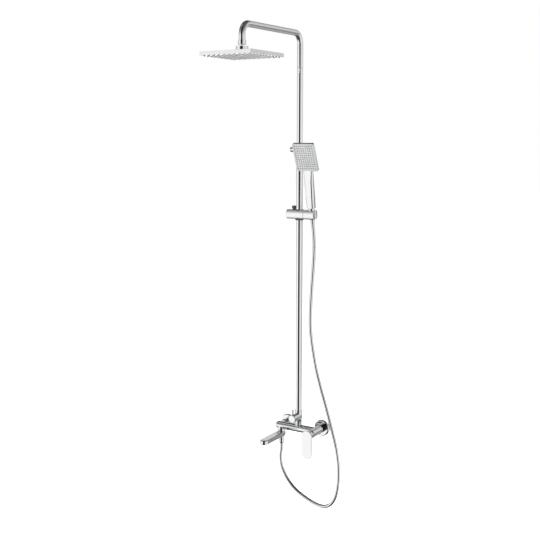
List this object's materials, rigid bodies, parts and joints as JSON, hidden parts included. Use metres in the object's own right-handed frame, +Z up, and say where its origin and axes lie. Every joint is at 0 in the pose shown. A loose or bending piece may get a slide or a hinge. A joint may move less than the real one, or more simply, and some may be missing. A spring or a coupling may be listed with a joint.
{
  "type": "rainfall shower column",
  "caption": "Exposed bath and shower column: two-inlet mixer bar with lever, flat swivel spout and diverter, tall riser, square overhead shower on an arm, sliding hand shower and hose.",
  "frame": {"origin": "on the wall face, midway between the two water inlets", "axes": "+X to the right, +Y into the wall, +Z up along the riser; the front faces -Y"},
  "size_m": [0.2857, 0.578, 1.7839],
  "materials": {
    "chrome": "polished",
    "brass": "machined",
    "steel": "bright",
    "seal_rubber": "matte",
    "white_plastic": "moulded",
    "ceramic": "lapped",
    "grey_plastic": "satin",
    "dark_plastic": "satin",
    "nozzle_rubber": "matte"
  },
  "bodies": {
    "fixed_body": {"wall_flanges": "chrome", "inlet_unions": "brass", "inlet_nuts": "chrome", "inlet_gaskets": "seal_rubber", "mixer_body": "chrome", "cartridge_housing": "white_plastic", "fixed_disc": "ceramic", "cartridge_nut": "brass", "dome_cap": "chrome", "diverter_body": "chrome", "diverter_cartridge": "white_plastic", "lower_tube": "chrome", "riser_collar": "chrome", "set_screws": "steel", "wall_bracket": "chrome", "bracket_flange": "chrome", "bracket_screw": "steel", "outlet_adapter": "chrome", "check_valve": "white_plastic", "hose_nut_bottom": "chrome", "hose": "chrome"},
    "lever_carrier": {"cartridge_carrier": "white_plastic", "moving_disc": "ceramic", "lever_pin": "steel"},
    "lever": {"lever_spindle": "brass", "lever_handle": "chrome", "lever_screw": "steel"},
    "spout_body": {"spout": "chrome", "spout_orings": "seal_rubber", "aerator": "grey_plastic"},
    "diverter": {"diverter_knob": "chrome", "diverter_pin": "chrome", "diverter_stem": "brass"},
    "bracket_clamp": {"bracket_knob": "chrome"},
    "riser_upper": {"upper_tube": "chrome", "arm_spigot": "brass", "spigot_orings": "seal_rubber"},
    "arm": {"overhead_arm": "chrome", "arm_set_screw": "steel", "ball_nipple": "chrome"},
    "inner_ball_ring": {"upper_seat_ring": "white_plastic"},
    "outer_ball_ring": {"lower_seat_ring": "white_plastic"},
    "overhead": {"overhead_cover": "chrome", "overhead_face": "grey_plastic", "overhead_nozzles": "nozzle_rubber", "ball_housing": "chrome", "overhead_screws": "steel"},
    "liner": {"slider_liner": "dark_plastic"},
    "slider": {"slider_body": "chrome", "slider_cap": "chrome", "holder_bolt": "steel"},
    "button": {"clamp_button": "dark_plastic"},
    "hand_holder": {"holder": "chrome"},
    "hand_shower": {"hand_body": "chrome", "hand_face": "grey_plastic", "hand_nozzles": "nozzle_rubber", "hose_nut_top": "chrome"}
  },
  "joints": [
    {"name": "lever_turn", "type": "hinge", "parent": "fixed_body", "child": "lever_carrier", "pos_m": [0.075, -0.092, 0], "axis": [0, 1, 0], "range_deg": [-45, 45]},
    {"name": "lever_lift", "type": "hinge", "parent": "lever_carrier", "child": "lever", "pos_m": [0.075, -0.092, 0], "axis": [-1, 0, 0], "range_deg": [0, 20]},
    {"name": "spout_swivel", "type": "hinge", "parent": "fixed_body", "child": "spout_body", "pos_m": [-0.075, -0.054, -0.031], "axis": [0, 0, 1], "range_deg": [-85, 35]},
    {"name": "diverter_turn", "type": "hinge", "parent": "fixed_body", "child": "diverter", "pos_m": [0, -0.09, 0.0488], "axis": [0, 1, 0], "range_deg": [-90, 90]},
    {"name": "bracket_knob_turn", "type": "hinge", "parent": "fixed_body", "child": "bracket_clamp", "pos_m": [-0.03, -0.054, 1.059], "axis": [1, 0, 0], "range_deg": [-180, 180]},
    {"name": "riser_height", "type": "slide", "parent": "fixed_body", "child": "riser_upper", "axis": [0, 0, 1], "range_m": [-0.08, 0.1]},
    {"name": "arm_swivel", "type": "hinge", "parent": "riser_upper", "child": "arm", "pos_m": [0, -0.054, 1.352], "axis": [0, 0, 1], "range_deg": [-50, 50]},
    {"name": "head_turn", "type": "hinge", "parent": "arm", "child": "inner_ball_ring", "pos_m": [0, -0.438, 1.391], "axis": [0, 0, 1], "range_deg": [-45, 45]},
    {"name": "head_tilt_x", "type": "hinge", "parent": "inner_ball_ring", "child": "outer_ball_ring", "pos_m": [0, -0.438, 1.391], "axis": [1, 0, 0], "range_deg": [-12, 12]},
    {"name": "head_tilt_y", "type": "hinge", "parent": "outer_ball_ring", "child": "overhead", "pos_m": [0, -0.438, 1.391], "axis": [0, 1, 0], "range_deg": [-12, 12]},
    {"name": "slider_height", "type": "slide", "parent": "fixed_body", "child": "liner", "axis": [0, 0, 1], "range_m": [-0.62, 0.19], "deforming": ["hose"]},
    {"name": "slider_turn", "type": "hinge", "parent": "liner", "child": "slider", "pos_m": [0, -0.054, 0.8215], "axis": [0, 0, 1], "range_deg": [-25, 25], "deforming": ["hose"]},
    {"name": "button_press", "type": "slide", "parent": "slider", "child": "button", "axis": [0, 0, -1], "range_m": [0, 0.003], "stiffness_N_per_m": 800},
    {"name": "holder_tilt", "type": "hinge", "parent": "slider", "child": "hand_holder", "pos_m": [0.053, -0.054, 0.8215], "axis": [1, 0, 0], "range_deg": [-3, 50], "deforming": ["hose"]},
    {"name": "hand_shower_lift", "type": "slide", "parent": "hand_holder", "child": "hand_shower", "axis": [0, -0.196, 0.9806], "range_m": [0, 0.08], "deforming": ["hose"]}
  ]
}
